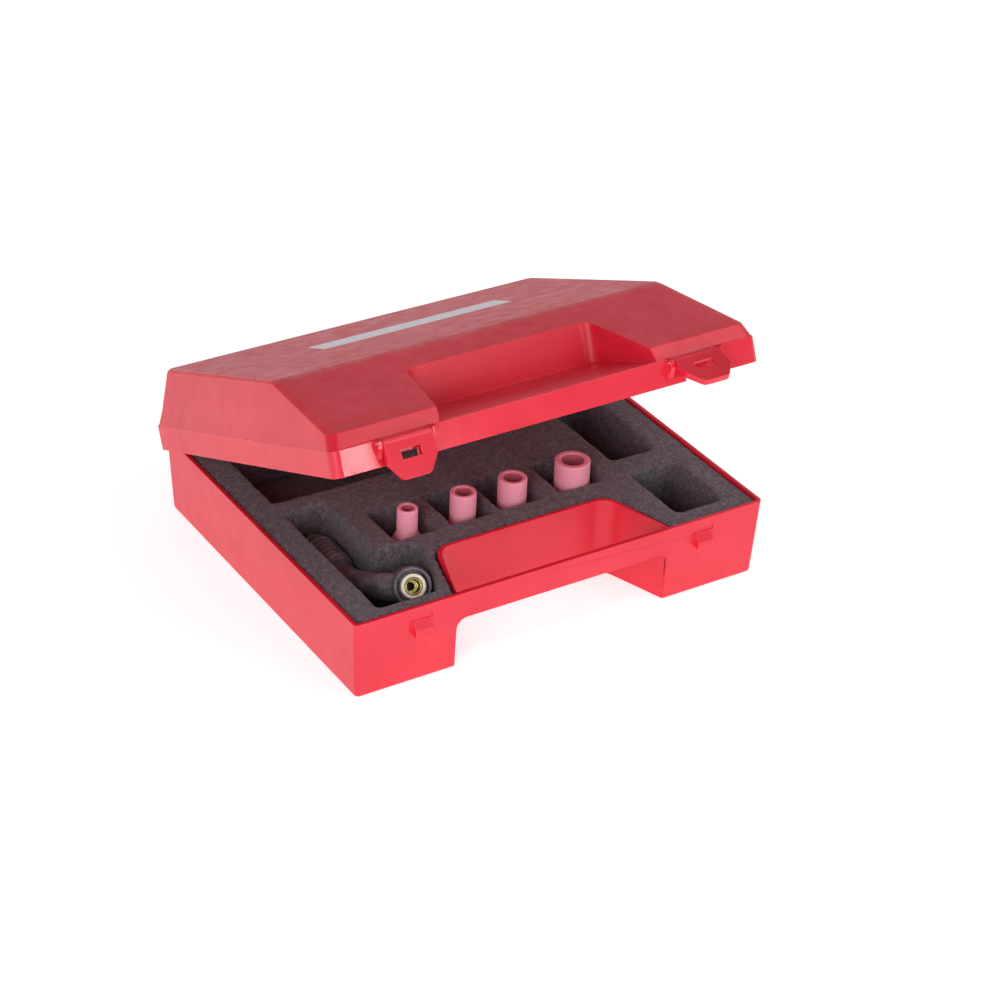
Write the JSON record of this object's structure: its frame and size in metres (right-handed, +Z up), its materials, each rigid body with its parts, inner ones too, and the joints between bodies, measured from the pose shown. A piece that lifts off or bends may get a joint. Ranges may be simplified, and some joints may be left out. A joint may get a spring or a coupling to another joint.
{
  "type": "tig torch kit in carry case",
  "caption": "Moulded carry case with a hinged lid and snap latches, foam insert, welding torch head and ceramic gas cups.",
  "frame": {"origin": "middle of the tub's flat underside", "axes": "+X along the hinge, +Y from the handle side to the hinge side, +Z up out of the tub"},
  "size_m": [0.25, 0.2246, 0.1379],
  "materials": {
    "case_red": "semi-gloss moulded polypropylene",
    "foam_charcoal": "open-cell foam, matt",
    "cup_ceramic": "pink alumina, satin",
    "torch_rubber": "moulded rubber, matt",
    "brass": "turned brass",
    "gasket_cream": "white fluoropolymer",
    "pin_steel": "drawn wire",
    "stripe_pale": "printed film"
  },
  "bodies": {
    "base": {"case_tub": "case_red", "foam_insert": "foam_charcoal", "foam_pad": "foam_charcoal", "hinge_pin_left": "pin_steel", "hinge_pin_right": "pin_steel"},
    "lid": {"case_lid": "case_red", "lid_stripe": "stripe_pale", "latch_pin_left": "pin_steel", "latch_pin_right": "pin_steel"},
    "latch_left": {"latch_left": "case_red"},
    "latch_right": {"latch_right": "case_red"},
    "cup_4": {"gas_cup_4": "cup_ceramic"},
    "cup_6": {"gas_cup_6": "cup_ceramic"},
    "cup_7": {"gas_cup_7": "cup_ceramic"},
    "cup_8": {"gas_cup_8": "cup_ceramic"},
    "torch": {"torch_body": "torch_rubber", "torch_core": "brass", "torch_gasket": "gasket_cream", "torch_cap": "torch_rubber", "torch_cap_ring": "torch_rubber", "torch_sleeve": "torch_rubber", "torch_inlet_tube": "brass", "torch_inlet_nut": "brass"}
  },
  "joints": [
    {"name": "lid_hinge", "type": "hinge", "parent": "base", "child": "lid", "pos_m": [0, 0.1109, 0.033], "axis": [-1, 0, 0], "range_deg": [-23.5, 86.5]},
    {"name": "latch_left_hinge", "type": "hinge", "parent": "lid", "child": "latch_left", "pos_m": [-0.085, -0.08605, 0.13227], "axis": [-1, 0, 0], "range_deg": [-12, 80]},
    {"name": "latch_right_hinge", "type": "hinge", "parent": "lid", "child": "latch_right", "pos_m": [0.085, -0.08605, 0.13227], "axis": [-1, 0, 0], "range_deg": [-55, 33]},
    {"name": "cup_4_lift", "type": "slide", "parent": "base", "child": "cup_4", "axis": [0, 0, 1], "range_m": [0, 0.04]},
    {"name": "cup_6_lift", "type": "slide", "parent": "base", "child": "cup_6", "axis": [0, 0, 1], "range_m": [0, 0.04]},
    {"name": "cup_7_lift", "type": "slide", "parent": "base", "child": "cup_7", "axis": [0, 0, 1], "range_m": [0, 0.04]},
    {"name": "cup_8_lift", "type": "slide", "parent": "base", "child": "cup_8", "axis": [0, 0, 1], "range_m": [0, 0.04]},
    {"name": "torch_lift", "type": "slide", "parent": "base", "child": "torch", "axis": [0, 0, 1], "range_m": [0, 0.04]}
  ]
}
